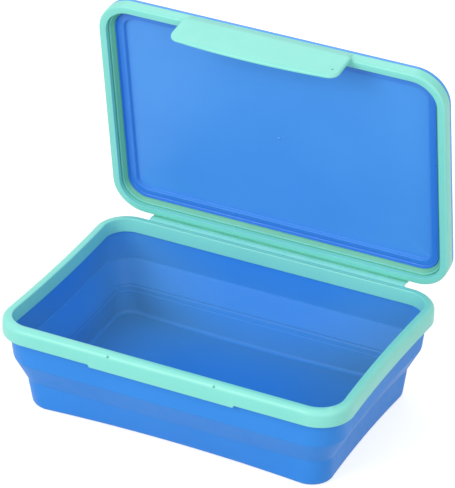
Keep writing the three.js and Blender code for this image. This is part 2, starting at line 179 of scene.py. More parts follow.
def worn_edges(tree, place, sharpness, most):
    """A patchy share that is above zero only on outward edges."""
    shape = tree.nodes.new("ShaderNodeNewGeometry")
    edge = tree.nodes.new("ShaderNodeMapRange")
    edge.inputs["From Min"].default_value = FLAT_POINTINESS + sharpness
    edge.inputs["From Max"].default_value = FLAT_POINTINESS + 3 * sharpness
    edge.inputs["To Max"].default_value = most
    tree.links.new(shape.outputs["Pointiness"], edge.inputs["Value"])
    patchy = tree.nodes.new("ShaderNodeMath")
    patchy.operation = "MULTIPLY"
    tree.links.new(edge.outputs["Result"], patchy.inputs[0])
    tree.links.new(noise_between(tree, place, WEAR_PATCH, LEAST_WEAR_SHARE, 1.0), patchy.inputs[1])
    return patchy.outputs["Value"]


def grain(tree, place, layers):
    """Bump from clouds of several sizes, each layer a (size, depth) in metres."""
    normal = None
    for size, depth in layers:
        bump = tree.nodes.new("ShaderNodeBump")
        bump.inputs["Distance"].default_value = depth
        tree.links.new(noise_between(tree, place, size, 0.0, 1.0), bump.inputs["Height"])
        if normal:
            tree.links.new(normal, bump.inputs["Normal"])
        normal = bump.outputs["Normal"]
    return normal


def painted_shade_share(tree, reach):
    """A share of painted shade that grows from open faces to places that other faces within reach shelter."""
    shelter = tree.nodes.new("ShaderNodeAmbientOcclusion")
    shelter.samples = SHELTER_RAYS
    shelter.only_local = True
    shelter.inputs["Distance"].default_value = reach
    share = tree.nodes.new("ShaderNodeMapRange")
    share.inputs["From Min"].default_value = OPEN_SHARE
    share.inputs["From Max"].default_value = SHUT_IN_SHARE
    tree.links.new(shelter.outputs["AO"], share.inputs["Value"])
    return share.outputs["Result"]


print("wear comes in patches of", WEAR_PATCH / MM, "mm")

# %% The whole recipe for a moulded plastic
DRIFT_SIZE = 0.045
EDGE_SHARPNESS = 0.012
MOST_WEAR = 0.35
SHEEN_PATCH = 0.009
DULLER = 0.04
GLOSSIER = 0.03


def moulded(name, colour, drift, pale, painted_shade, roughness, layers, reach=0.012, specular=0.5):
    """A moulded plastic: a drifting colour, pale on worn edges and with painted shade in hollows, with a fine
    grain.
    """
    material = bpy.data.materials.new(name)
    material.use_nodes = True
    tree = material.node_tree
    shader = tree.nodes["Principled BSDF"]
    shader.inputs["Specular IOR Level"].default_value = specular
    place = tree.nodes.new("ShaderNodeTexCoord").outputs["Object"]
    body = mixed(tree, noise_between(tree, place, DRIFT_SIZE, 0.0, 1.0), colour, drift)
    # Painted shade: the colour moves towards a shade tone in hollows and where the piece shelters itself.
    body = mixed(tree, painted_shade_share(tree, reach), body, painted_shade)
    worn = mixed(tree, worn_edges(tree, place, EDGE_SHARPNESS, MOST_WEAR), body, pale)
    tree.links.new(worn, shader.inputs["Base Color"])
    rough = noise_between(tree, place, SHEEN_PATCH, roughness - GLOSSIER, roughness + DULLER)
    tree.links.new(rough, shader.inputs["Roughness"])
    tree.links.new(grain(tree, place, layers), shader.inputs["Normal"])
    return material


print("the colour drifts over", round(DRIFT_SIZE / MM), "mm and the sheen over", round(SHEEN_PATCH / MM))

# %% The teal plastic, a darker copy of it that paints shade on the lid frame's slope, and the gate marks' dark painted shade
TEAL_GRAIN = ((0.004, 0.00002), (0.0003, 0.000004))

teal = moulded(
    "teal_satin_plastic", colour=linear(133, 225, 211), drift=linear(129, 221, 207),
    pale=linear(180, 241, 230), painted_shade=linear(118, 208, 182), roughness=0.36, layers=TEAL_GRAIN)
# Painted shade: the gate marks' dark colour stands in for the shade in a small pit.
gate_mark_painted_shade = moulded(
    "gate_mark_painted_shade_plastic", colour=linear(78, 158, 140), drift=linear(66, 140, 124),
    pale=linear(120, 200, 184), painted_shade=linear(60, 130, 112), roughness=0.55, layers=((0.0003, 0.00001),))
# Painted shade: a darker, greener copy of the teal for the lid frame's inner slope.
teal_painted_shade = moulded(
    "teal_slope_painted_shade", colour=linear(102, 190, 158), drift=linear(98, 186, 154),
    pale=linear(156, 222, 200), painted_shade=linear(80, 146, 120), roughness=0.42, layers=TEAL_GRAIN)
print("made", teal.name + ",", teal_painted_shade.name, "and", gate_mark_painted_shade.name)

# %% [markdown]
# The tub is a soft elastomer: the same recipe with a duller, slightly uneven surface that takes more dust
# and shows a softer grain. Its hollows are wide, so its painted shade reaches much further than the others'
# does.
# The lid's skin is a harder blue plastic, smoother than the tub. A border round its recess came off polished
# steel and not off a textured face, so it is glossier, and its darker blue is painted shade.

# %% The two blues
# Painted shade: in the tub's hollows the blue moves to a greyer shade tone, over a long reach.
soft_blue = moulded(
    "soft_blue_elastomer", colour=linear(55, 143, 232), drift=linear(51, 139, 229),
    pale=linear(104, 174, 243), painted_shade=linear(92, 156, 200), roughness=0.44,
    layers=((0.006, 0.00003), (0.00045, 0.000008)), reach=0.08, specular=0.22)
skin_blue = moulded(
    "lid_blue_plastic", colour=linear(78, 157, 239), drift=linear(74, 153, 236),
    pale=linear(122, 184, 245), painted_shade=linear(62, 132, 216), roughness=0.4,
    layers=((0.008, 0.00002), (0.0003, 0.000005)), specular=0.42)
# Painted shade: the border's blue is darker than the skin's; only its lower roughness is its own.
border_blue_painted_shade = moulded(
    "lid_blue_polished_border_painted_shade", colour=linear(58, 136, 230), drift=linear(54, 132, 227),
    pale=linear(106, 170, 243), painted_shade=linear(46, 116, 207), roughness=0.3,
    layers=((0.008, 0.00001),), specular=0.42)
print("made", soft_blue.name + ",", skin_blue.name, "and", border_blue_painted_shade.name)

# %% [markdown]
# One outline for everything
#
# Seen from above, the rim, the tub and the lid are the same rounded rectangle, only drawn in by different
# amounts. A moulding is then a cross section carried round that outline. The section could be swept by a
# curve with a bevel object, but that gives no control where the shape changes along the way, as at the
# catch or the clasp. So the rings are laid down point by point, with a stop at each place that matters.

# %% The stops round the outline
CORNER_RADIUS = 21.4
CORNER_STEPS = 20
MOST_SWELL = 7.6
STOP_MARGIN = 0.6
CATCH_HALF_LENGTH = 47.0
CATCH_RAMP = 0.9
LONG_STEPS = 24
SHORT_STEPS = 16


def even_stops(reach, count):
    """Places in count even steps from minus reach to reach."""
    return [reach * (2 * i / count - 1) for i in range(count + 1)]


straight_x = half_length - CORNER_RADIUS - MOST_SWELL - STOP_MARGIN
straight_y = half_width - CORNER_RADIUS - MOST_SWELL - STOP_MARGIN
# Both ends of the catch's step, and the last stop before the hinge groove ends
step_stops = [CATCH_HALF_LENGTH, CATCH_HALF_LENGTH + CATCH_RAMP, straight_x - CATCH_RAMP]
long_stops = sorted(even_stops(straight_x, LONG_STEPS) + step_stops + [-x for x in step_stops])
short_stops = even_stops(straight_y, SHORT_STEPS)
print(len(long_stops), "stops on a long side,", len(short_stops), "on a short one")


# %% A ring drawn in by an inset
def plain_form(height):
    """No rounder corners, and short and long sides that run straight."""
    return 0.0, 0.0, 0.0


def ring(inset, height, form=plain_form, reshape=None):
    """Points round the outline, drawn in by inset, with the form's corners and sides at that height."""
    swell, short_bow, long_bow = form(height)
    radius = CORNER_RADIUS - inset + swell
    middle_x = half_length - inset - radius
    middle_y = half_width - inset - radius
    sides = [(half_length - inset - short_bow * (1 - (y / middle_y) ** 2), y) for y in short_stops]
    backs = [(x, half_width - inset - long_bow * (1 - (x / middle_x) ** 2)) for x in long_stops]
    straights = ([(-x, y) for x, y in backs], [(-x, -y) for x, y in sides],
                 [(x, -y) for x, y in backs], sides)
    flat = []
    for quadrant, (sign_x, sign_y) in enumerate(((1, 1), (-1, 1), (-1, -1), (1, -1))):
        for step in range(CORNER_STEPS + 1):
            angle = math.pi / 2 * (quadrant + step / CORNER_STEPS)
            flat.append((sign_x * middle_x + radius * math.cos(angle),
                         sign_y * middle_y + radius * math.sin(angle)))
        flat += straights[quadrant]
    if reshape:
        return [Vector(reshape(x, y, height, inset)) for x, y in flat]
    return [Vector((x, y, height)) for x, y in flat]


print("each ring has", len(ring(0, 0)), "points")

# %% [markdown]
# A cross section is written as its corners, each with the radius that the mould has there. True arcs
# matter more than they seem to: the thin bright lines along a moulding's edges are light caught in them.

# %% Round a section's corners
ARC_STEPS = 6
STRETCH_SHARE = 0.49


def rounded(corners, closed=True, most=STRETCH_SHARE):
    """Points of a section given as corners (inset, height, radius), with a true arc at each radius.

    An arc takes up no more than a share, most, of the stretch on either side of its corner.
    """
    points = []
    for i, (inset, height, *radius) in enumerate(corners):
        here = Vector((inset, height))
        at_end = not closed and i in (0, len(corners) - 1)
        if not radius or at_end:
            points.append(here)
            continue
        back = Vector(corners[i - 1][:2]) - here
        ahead = Vector(corners[(i + 1) % len(corners)][:2]) - here
        half = back.angle(ahead) / 2
        cut = min(radius[0] / math.tan(half), most * back.length, most * ahead.length)
        centre = here + (back.normalized() + ahead.normalized()).normalized() * cut / math.cos(half)
        start = here + back.normalized() * cut - centre
        end = here + ahead.normalized() * cut - centre
        sweep = start.angle_signed(end)
        for step in range(ARC_STEPS + 1):
            points.append(centre + Matrix.Rotation(-sweep * step / ARC_STEPS, 2) @ start)
    return points


print("a rounded corner gets", ARC_STEPS + 1, "points")

# %% Carry a section round the outline
CREASE = 32


def mesh_piece(name, points, faces, material, crease=CREASE):
    """A smooth shaded object of points in millimetres, with edges sharper than the crease kept sharp."""
    mesh = bpy.data.meshes.new(name)
    mesh.from_pydata([Vector(p) * MM for p in points], [], faces)
    shape = bmesh.new()
    shape.from_mesh(mesh)
    bmesh.ops.recalc_face_normals(shape, faces=shape.faces)
    shape.to_mesh(mesh)
    shape.free()
    mesh.shade_smooth()
    mesh.set_sharp_from_angle(angle=math.radians(crease))
    mesh.materials.append(material)
    piece = bpy.data.objects.new(name, mesh)
    bpy.context.scene.collection.objects.link(piece)
    return piece


def joined_rings(rings, looped):
    """Points and faces of rings joined one to the next, and the last to the first where looped."""
    count = len(rings[0])
    points = [p for each in rings for p in each]
    faces = []
    for band in range(len(rings) if looped else len(rings) - 1):
        lower, upper = band * count, (band + 1) % len(rings) * count
        for i in range(count):
            after = (i + 1) % count
            faces.append((lower + i, lower + after, upper + after, upper + i))
    return points, faces


def hoop(name, profile, material, form=plain_form, reshape=None):
    """A closed section, given by its points, carried round the outline."""
    rings = [ring(p.x, p.y, form, reshape) for p in profile]
    return mesh_piece(name, *joined_rings(rings, looped=True), material)


def capped(name, rings, material, crease=CREASE):
    """Rings joined one to the next, with a face to close the first and the last."""
    points, faces = joined_rings(rings, looped=False)
    count = len(rings[0])
    faces += [tuple(range(count)), tuple(range(len(points) - count, len(points)))]
    return mesh_piece(name, points, faces, material, crease)


print("edges sharper than", CREASE, "degrees stay sharp")


# %% A second finish on some bands of a ring
def finish_bands(piece, profile, first_band, chosen, material):
    """Gives a second material to the bands of a ring whose middle, in the section, passes a test."""
    piece.data.materials.append(material)
    around = len(ring(0, 0))
    for band, (a, b) in enumerate(zip(profile, profile[1:])):
        if chosen((a + b) / 2):
            start = (first_band + band) * around
            for face in piece.data.polygons[start:start + around]:
                face.material_index = len(piece.data.materials) - 1


print("a band holds", len(ring(0, 0)), "faces")

# %% [markdown]
# The rim
#
# The rim is stiff because it is folded over: a flange outside, a rolled crown on top and a leg inside, with
# the tub's thick head locked between them. Its short sides have sunk in by a millimetre or so at the middle,
# as long thin mouldings do when they cool.

# %% The rim's section
FLANGE_DEPTH = 10.7
FLANGE_WALL = 1.7
CROWN_RADIUS = 3.6
CROWN_THICKNESS = 2.0
RIM_TOP_WIDTH = 6.1
INNER_EDGE_RADIUS = 0.8
LEG_DEPTH = 9.0
LEG_DRAFT = 1.0
LEG_WALL = 1.2
RIM_EDGE_RADIUS = 0.5
SHORT_SIDE_BOW = 1.4

flange_foot = rim_top - FLANGE_DEPTH
catch_drop = flange_foot - rim_low.z
leg_foot = rim_top - LEG_DEPTH
crown_roof = rim_top - CROWN_THICKNESS
leg_foot_inset = RIM_TOP_WIDTH + LEG_DRAFT
leg_roof_inset = RIM_TOP_WIDTH + LEG_DRAFT * CROWN_THICKNESS / LEG_DEPTH - LEG_WALL

rim_section = [
    (0, flange_foot, RIM_EDGE_RADIUS),
    (0, rim_top, CROWN_RADIUS),
    (RIM_TOP_WIDTH, rim_top, INNER_EDGE_RADIUS),
    (leg_foot_inset, leg_foot, RIM_EDGE_RADIUS),
    (leg_foot_inset - LEG_WALL, leg_foot, RIM_EDGE_RADIUS),
    (leg_roof_inset, crown_roof, RIM_EDGE_RADIUS),
    (FLANGE_WALL, crown_roof, RIM_EDGE_RADIUS),
    (FLANGE_WALL, flange_foot, RIM_EDGE_RADIUS),
]
print(f"rim section of {len(rim_section)} corners, {RIM_TOP_WIDTH} wide on top and {FLANGE_DEPTH} deep")

# %% [markdown]
# Two places break the rim's even section. In front, between the two ends of the clasp, the flange reaches a
# little lower. That step is the ledge that the clasp hooks under, and it is made by moving only the lowest
# points of the rings there. Behind, a narrow groove runs along the top before the hinge and shows as a fine
# line. It could be cut with a boolean, but four more points in the section, of which the middle two sink
# along the back alone, keep the even bands of the ring.

# %% The catch ledge in front
def rim_form(height):
    """The rim's short sides are drawn in a little at their middles."""
    return 0.0, SHORT_SIDE_BOW, 0.0


def catch_ledge(x, y, height, inset):
    """Lowers the flange's foot by the catch's drop along the middle of the front."""
    at_foot = y < 0 and inset <= FLANGE_WALL and height < flange_foot + FLANGE_WALL
    if at_foot and abs(x) <= CATCH_HALF_LENGTH:
        return x, y, height - catch_drop
    return x, y, height


print("the catch reaches", round(catch_drop, 2), "below the flange")

# %% The groove behind, and the rim itself
HINGE_GROOVE_INSET = 4.9
HINGE_GROOVE_HALF_WIDTH = 0.35
HINGE_GROOVE_LIP = 0.15
HINGE_GROOVE_DEPTH = 0.7
LEVEL_MARGIN = 0.01
CROWN_SHARE = 0.6


def shaped_rim(x, y, height, inset):
    """The catch's step in front, and a narrow groove along the top before the hinge."""
    on_back_top = y > 0 and abs(x) < straight_x and height > rim_top - LEVEL_MARGIN
    from_groove = abs(inset - HINGE_GROOVE_INSET)
    if on_back_top and from_groove < HINGE_GROOVE_HALF_WIDTH - HINGE_GROOVE_LIP / 2:
        return x, y, height - HINGE_GROOVE_DEPTH
    return catch_ledge(x, y, height, inset)


rim_profile = rounded(rim_section, most=CROWN_SHARE)
# The groove's points go between the arc over the crown and the one at the inner edge
inner_edge = 2 * (ARC_STEPS + 1)
mouth, foot = HINGE_GROOVE_HALF_WIDTH, HINGE_GROOVE_HALF_WIDTH - HINGE_GROOVE_LIP
groove_insets = [HINGE_GROOVE_INSET + offset for offset in (-mouth, -foot, foot, mouth)]
rim_profile[inner_edge:inner_edge] = [Vector((inset, rim_top)) for inset in groove_insets]
rim = hoop("rim_moulding", rim_profile, teal, rim_form, shaped_rim)
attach(rim, "rim")
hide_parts("rim_frame")
print("rim:", len(rim.data.polygons), "faces")

# %% [markdown]
# The soft tub
#
# The tub is one moulding from its head in the rim to its floor, so it is one mesh here, although the solids
# split it in three where it folds. It has an upright tier, a band that slants in and a drafted lower wall.
# Inside, a narrow ledge marks the upper fold. A wide shallow groove marks the lower one, where the wall is
# thinner so that it always bends in the same place. When the box is pressed flat the band turns inside out,
# and for that the mesh needs many rows across the band.

# %% The tub's sizes
UPPER_TIER_INSET = 4.2
SOFT_WALL = 1.4
UPPER_TIER_DRAFT = 0.8
FOLD_RUN = 8.2
TUB_WALL = 1.6
TUB_DRAFT = 1.6
FLOOR_THICKNESS = 1.8
BASE_EDGE_RADIUS = 3.0
FLOOR_CORNER_RADIUS = 4.0
UPPER_FOLD_RADIUS = 4.0
LOWER_FOLD_RADIUS = 2.5
FOLD_LEDGE = 0.8
FOLD_LEDGE_DROP = 0.35
FOLD_GROOVE_DEPTH = 0.35
FOLD_GROOVE_RISE = 1.6
FOLD_GROOVE_FALL = 2.9
FOLD_GROOVE_LIP = 0.25
HEAD_DEPTH = 7.0
HEAD_SHOULDER_DROP = 1.6
ROW_HEIGHT = 1.1

tier_foot_inset = UPPER_TIER_INSET + UPPER_TIER_DRAFT
lower_inset = tier_foot_inset + FOLD_RUN
base_inset = lower_inset + TUB_DRAFT
ledge_inset = tier_foot_inset + SOFT_WALL + FOLD_LEDGE
lower_inner = lower_inset + TUB_WALL
head_top = crown_roof - SEAT_GAP
head_outer = FLANGE_WALL + SEAT_GAP
head_inner = leg_roof_inset - SEAT_GAP
groove_top = lower_fold + FOLD_GROOVE_RISE
groove_foot = lower_fold - FOLD_GROOVE_FALL
floor_edge = base_inset + TUB_WALL + FLOOR_CORNER_RADIUS
print(f"the wall is drawn in by {lower_inset:.1f} at the lower fold and {base_inset:.1f} at the base")


# %% Its section, from the floor round to the floor
def draft_at(height):
    """How far the lower wall has drawn in at a height, from the lower fold down."""
    return TUB_DRAFT * (lower_fold - height) / lower_fold


def band_at(height):
    """Inset of the fold band's inner face at a height."""
    return lower_inner - (lower_inner - ledge_inset) * (height - lower_fold) / (upper_fold - lower_fold)


tub_section = [
    (floor_edge, 0),
    (base_inset, 0, BASE_EDGE_RADIUS),
    (lower_inset, lower_fold, LOWER_FOLD_RADIUS),
    (tier_foot_inset, upper_fold, UPPER_FOLD_RADIUS),
    (UPPER_TIER_INSET, rim_top - HEAD_DEPTH - HEAD_SHOULDER_DROP, RIM_EDGE_RADIUS),
    (head_outer, rim_top - HEAD_DEPTH, RIM_EDGE_RADIUS),
    (head_outer, head_top, RIM_EDGE_RADIUS),
    (head_inner, head_top, RIM_EDGE_RADIUS),
    (UPPER_TIER_INSET + SOFT_WALL, leg_foot),
    (tier_foot_inset + SOFT_WALL, upper_fold + FOLD_LEDGE_DROP, FOLD_LEDGE_DROP),
    (ledge_inset, upper_fold, FOLD_LEDGE),
    (band_at(groove_top), groove_top, FOLD_GROOVE_LIP),
    (band_at(groove_top) - FOLD_GROOVE_DEPTH, groove_top - FOLD_GROOVE_LIP, FOLD_GROOVE_LIP),
    (lower_inner - FOLD_GROOVE_DEPTH, lower_fold, LOWER_FOLD_RADIUS / 2),
    (lower_inner + draft_at(groove_foot) - FOLD_GROOVE_DEPTH, groove_foot + FOLD_GROOVE_LIP, FOLD_GROOVE_LIP),
    (lower_inner + draft_at(groove_foot), groove_foot, FOLD_GROOVE_LIP),
    (base_inset + TUB_WALL, FLOOR_THICKNESS, FLOOR_CORNER_RADIUS),
    (floor_edge, FLOOR_THICKNESS),
]
print(f"tub section of {len(tub_section)} corners")

# %% [markdown]
# Three more things shape the tub. Its corners are rounder than the rim's once they are clear of it, which is
# the swell. Its long walls sink in between the corners, the more so the further they are from the stiff rim,
# so that each is four millimetres further in at the middle of the base than near its ends. And being soft,
# it hangs from the rim a little out of true, with its base a millimetre further back.

# %% Swell at the corners, walls drawn in, and the hang
FOLD_CORNER_SWELL = 4.0
BASE_LONG_SIDE_BOW = 4.0
TUB_HANG_BACK = 1.1


def between(value, low, high, at_low, at_high):
    """A value read between two others, held level past both ends."""
    share = min(max((value - low) / (high - low), 0), 1)
    return at_low + share * (at_high - at_low)


def corner_swell(height):
    """How much rounder the tub's corners are at a height than the rim's."""
    if height >= lower_fold:
        return between(height, upper_fold, flange_foot, FOLD_CORNER_SWELL, 0)
    return between(height, 0, lower_fold, MOST_SWELL, FOLD_CORNER_SWELL)


def tub_form(height):
    """Rounder corners below the rim, and long sides that sink in towards the base."""
    return corner_swell(height), SHORT_SIDE_BOW, between(height, 0, lower_fold, BASE_LONG_SIDE_BOW, 0)


def hung(x, y, height, inset):
    """The soft tub hangs a millimetre back of the middle at its base."""
    return x, y + between(height, 0, upper_fold, TUB_HANG_BACK, 0), height


print(f"corners {MOST_SWELL} rounder and long sides {BASE_LONG_SIDE_BOW} further in at the base")

# %% Close the floor and build the tub
CENTRE_SHARES = (0.8, 0.6, 0.4, 0.2, 0.06)


def in_rows(points, height):
    """Adds points so that no stretch of a section rises more than a height."""
    finer = [points[0]]
    for point in points[1:]:
        before = finer[-1]
        rows = max(1, math.ceil(abs(point.y - before.y) / height))
        finer += [before.lerp(point, row / rows) for row in range(1, rows + 1)]
    return finer


def toward_centre(edge):
    """Rings that carry a flat edge in towards its centre."""
    return [[Vector((p.x * share, p.y * share, p.z)) for p in edge] for share in CENTRE_SHARES]


def dish(name, section, material, form=plain_form, reshape=None, row=None):
    """An open section carried round the outline, with both ends run in to the middle."""
    profile = rounded(section, closed=False)
    profile = in_rows(profile, row) if row else profile
    rings = [ring(p.x, p.y, form, reshape) for p in profile]
    rings = toward_centre(rings[0])[::-1] + rings + toward_centre(rings[-1])
    return capped(name, rings, material)


tub = dish("soft_tub", tub_section, soft_blue, tub_form, hung, row=ROW_HEIGHT)
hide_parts("upper_wall", "fold_wall", "lower_tub")
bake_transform(tub)
print("tub:", len(tub.data.polygons), "faces, bends between the folds")

# %% [markdown]
# The lid frame
#
# The lid's teal ring has a flat face that meets the rim, then a groove, a thin sealing rib and a steep slope
# up to the skin. The slope is a thin lip with the blue skin behind it. Its bands get a darker, greener copy
# of the teal, which is painted shade. The solids cut a pocket in its front for the flap. The real flap grows
# out of the ring in one piece, so here the ring runs through and the flap's root is buried in it.

# %% The lid frame's section
FRAME_HEIGHT = 7.0
FRAME_EDGE_RADIUS = 1.4
FACE_WIDTH = 5.0
FRAME_TOP_WIDTH = 8.1
FRAME_MOUTH = 5.8
GROOVE_WIDTH = 0.5
GROOVE_DEPTH = 3.9
RIB_WIDTH = 0.6
RIB_HEIGHT = 0.8
RIB_RADIUS = 0.2
LEDGE_WIDTH = 0.2
LEDGE_RISE = 0.6

rib_crest = GROOVE_DEPTH - RIB_HEIGHT
rib_outer = FACE_WIDTH + GROOVE_WIDTH
rib_inner = rib_outer + RIB_WIDTH
slope_start = rib_inner + LEDGE_WIDTH
slope_foot = rib_crest + LEDGE_RISE


def above_rim(section):
    """A lid section given in heights above the face that meets the rim."""
    return [(corner[0], lid_plane + corner[1], *corner[2:]) for corner in section]


frame_section = above_rim([
    (0, 0, FRAME_EDGE_RADIUS),
    (0, FRAME_HEIGHT, RIB_RADIUS),
    (FRAME_TOP_WIDTH, FRAME_HEIGHT, RIB_RADIUS),
    (FRAME_TOP_WIDTH, FRAME_MOUTH, RIM_EDGE_RADIUS),
    (slope_start, slope_foot, RIB_RADIUS),
    (rib_inner, slope_foot, RIB_RADIUS),
    (rib_inner, rib_crest, RIB_RADIUS),
    (rib_outer, rib_crest, RIB_RADIUS),
    (rib_outer, GROOVE_DEPTH, RIB_RADIUS),
    (FACE_WIDTH, GROOVE_DEPTH, RIB_RADIUS),
    (FACE_WIDTH, 0, RIB_RADIUS),
])
print(f"frame section of {len(frame_section)} corners, face {FACE_WIDTH} wide")


# %% The ring, with its slope in a darker teal that paints shade
def on_slope(place):
    """Whether a place in the frame's section is on its inner slope."""
    return place.x > slope_start and slope_foot < place.y - lid_plane < FRAME_MOUTH + RIM_EDGE_RADIUS


frame_profile = rounded(frame_section)
lid_frame = hoop("lid_frame_ring", frame_profile, teal)
finish_bands(lid_frame, frame_profile, 0, on_slope, teal_painted_shade)
lid_frame.data.transform(open_in_metres)
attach(lid_frame, "lid")
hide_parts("lid_frame")
print("lid frame:", len(lid_frame.data.polygons), "faces")

# %% [markdown]
# The lid's skin
#
# The blue skin covers the frame, is set back a little from its edge, and rises inside the ring to a broad
# low dome. Seen from inside it is a recess: a cove, a narrow border and a last small step to the flat, whose
# edge is the bright line in the photo. A flat sheet with a Solidify and a Bevel modifier would have the same
# radius all over, so the skin is a section carried round as well, with both its ends run in to the middle. A
# small nib there is where the plastic was let into the mould.

# %% The skin's section
EDGE_HEIGHT = 9.4
SKIN_SETBACK = 0.2
SKIN_EDGE_RADIUS = 0.4
DOME_RISE = 1.8
DOME_FOOT_INSET = 12.0
DOME_SLOPE_RUN = 3.0
DOME_EDGE_RADIUS = 1.8
DOME_THICKNESS = 2.0
RECESS_FOOT_WIDTH = 0.2
COVE_RUN = 0.6
COVE_RISE = 1.9
BORDER_RUN = 4.2
BORDER_RISE = -0.7
STEP_RUN = 0.5
COVE_RADIUS = 0.8
STEP_RADIUS = 0.35

dome_top = EDGE_HEIGHT + DOME_RISE
recess_top = dome_top - DOME_THICKNESS
skin_underside = FRAME_HEIGHT + SEAT_GAP
foot_inset = FRAME_TOP_WIDTH + SEAT_GAP
cove_inset = foot_inset + RECESS_FOOT_WIDTH + COVE_RUN
cove_top = FRAME_MOUTH + COVE_RISE
border_inset = cove_inset + BORDER_RUN
dome_start = DOME_FOOT_INSET + DOME_SLOPE_RUN
flat_inset = max(border_inset + STEP_RUN, dome_start) + DOME_EDGE_RADIUS

skin_section = above_rim([
    (flat_inset, dome_top),
    (dome_start, dome_top, DOME_EDGE_RADIUS),
    (DOME_FOOT_INSET, EDGE_HEIGHT, DOME_EDGE_RADIUS),
    (SKIN_SETBACK, EDGE_HEIGHT, SKIN_EDGE_RADIUS),
    (SKIN_SETBACK, skin_underside, RIB_RADIUS),
    (foot_inset, skin_underside, RIB_RADIUS),
    (foot_inset, FRAME_MOUTH, RIB_RADIUS),
    (foot_inset + RECESS_FOOT_WIDTH, FRAME_MOUTH, RIB_RADIUS),
    (cove_inset, cove_top, COVE_RADIUS),
    (border_inset, cove_top + BORDER_RISE, STEP_RADIUS),
    (border_inset + STEP_RUN, recess_top, STEP_RADIUS),
    (flat_inset, recess_top),
])
print(f"skin section of {len(skin_section)} corners, dome {dome_top:.1f} high")


# %% The skin, with its border in the polished blue that paints shade
def on_border(place):
    """Whether a place in the skin's section is on the cove or the border round the recess."""
    return foot_inset < place.x < border_inset and place.y < lid_plane + cove_top + RIB_RADIUS


lid_skin = dish("lid_skin", skin_section, skin_blue)
skin_profile = rounded(skin_section, closed=False)
finish_bands(lid_skin, skin_profile, len(CENTRE_SHARES), on_border, border_blue_painted_shade)
lid_skin.data.transform(open_in_metres)
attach(lid_skin, "lid")
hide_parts("lid_panel")
print("skin:", len(lid_skin.data.polygons), "faces")

# %% A small turned nib in the recess
NIB_RADIUS = 1.0
NIB_HEIGHT = 0.8
TURNED_STEPS = 20
TURNED_CREASE = 50
NIB_OUTLINE_SHARES = ((1, 0.5), (1, 0), (0.8, -0.55), (0.5, -0.9), (0.2, -1))


def turned(name, section, centre, material):
    """A small round piece turned from (radius, height) points about a line down through a centre."""
    rings = []
    for radius, height in section:
        angles = [2 * math.pi * i / TURNED_STEPS for i in range(TURNED_STEPS)]
        rings.append([centre + Vector((radius * math.cos(a), radius * math.sin(a), height)) for a in angles])
    return capped(name, rings, material, TURNED_CREASE)


nib_section = [(across * NIB_RADIUS, up * NIB_HEIGHT) for across, up in NIB_OUTLINE_SHARES]
nib_centre = Vector((0, 0, lid_plane + recess_top))
nib = turned("recess_gate_nib", nib_section, nib_centre, skin_blue)
nib.data.transform(open_in_metres)
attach(nib, "lid")
print("nib at the middle of the recess,", 2 * NIB_RADIUS, "across")

# %% [markdown]
# The hinge
#
# A moulded hinge is a strip of the same plastic, thin enough to bend for years. It leaves the rim as a
# thicker leaf, thins to the web, and thickens again into the lid's leaf. Its middle line is one smooth curve,
# rising to a low crest where it leaves the rim and square to the lid's edge where it meets the lid. As the
# lid turns, the strip has to bend with it. Here it is built in its open shape and attached to neither body.

# %% The web's middle line and thickness
LEAF_REACH = 0.6
LEAF_THICKNESS = 1.9
LEAF_ROOT = 3.0
WEB_THICKNESS = 0.9
WEB_LEAVE = 2.2
RIM_LEAF_DROP = 0.7
RIM_LEAF_INSET = 0.5
RIM_ROOT_DROP = 1.6
WEB_CREST_SLOPE = 1.1
LID_LEAF_RISE = 1.5
WEB_STEPS = 28

leaf_end = half_width + LEAF_REACH


def on_open_lid(y, height):
    """Where a point of the closed lid's back edge is once the lid is open."""
    return open_lid @ Vector((0, y, lid_plane + height))


def curve_point(ends, share):
    """A point on the cubic curve through the ends of four control points."""
    a, b, c, d = ends
    rest = 1 - share
    return a * rest**3 + 3 * b * rest**2 * share + 3 * c * rest * share**2 + d * share**3


rim_side = Vector((0, half_width - RIM_LEAF_INSET, rim_top - RIM_LEAF_DROP))
lid_side = on_open_lid(leaf_end, LID_LEAF_RISE)
rim_leave = Vector((0, WEB_LEAVE, WEB_LEAVE * WEB_CREST_SLOPE))
web_ends = (rim_side, rim_side + rim_leave, on_open_lid(leaf_end + WEB_LEAVE, LID_LEAF_RISE), lid_side)
middle_line = [rim_side - Vector((0, LEAF_ROOT, RIM_ROOT_DROP))]
middle_line += [curve_point(web_ends, i / WEB_STEPS) for i in range(WEB_STEPS + 1)]
middle_line.append(on_open_lid(leaf_end - LEAF_ROOT, LID_LEAF_RISE))
print("web length", round(sum((b - a).length for a, b in zip(middle_line, middle_line[1:])), 1))

# %% Thicken it and run it along the back
WEB_EDGE = 0.25


def web_half_thickness(share):
    """Half the strip's thickness, which falls from the leaves to the web in a smooth curve."""
    near_leaf = max(0.0, abs(2 * share - 1) * 2 - 1)
    eased = near_leaf * near_leaf * (3 - 2 * near_leaf)
    return (WEB_THICKNESS + (LEAF_THICKNESS - WEB_THICKNESS) * eased) / 2


def web_outline(shrink):
    """The strip's cross section as a closed loop, drawn in all round by a length."""
    upper, lower = [], []
    last = len(middle_line) - 1
    for i, point in enumerate(middle_line):
        along = middle_line[min(i + 1, last)] - middle_line[max(i - 1, 0)]
        side = Vector((0, -along.z, along.y)).normalized() * (web_half_thickness(i / last) - shrink)
        upper.append(point + side)
        lower.insert(0, point - side)
    return upper + lower


web_rings = []
web_shrinks = ((-hinge_half_length, WEB_EDGE), (WEB_EDGE - hinge_half_length, 0),
               (hinge_half_length - WEB_EDGE, 0), (hinge_half_length, WEB_EDGE))
for x, shrink in web_shrinks:
    web_rings.append([p + Vector((x, 0, 0)) for p in web_outline(shrink)])
web = capped("hinge_web", web_rings, teal)
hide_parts("living_hinge")
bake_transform(web)
print("hinge web:", len(web.data.polygons), "faces")

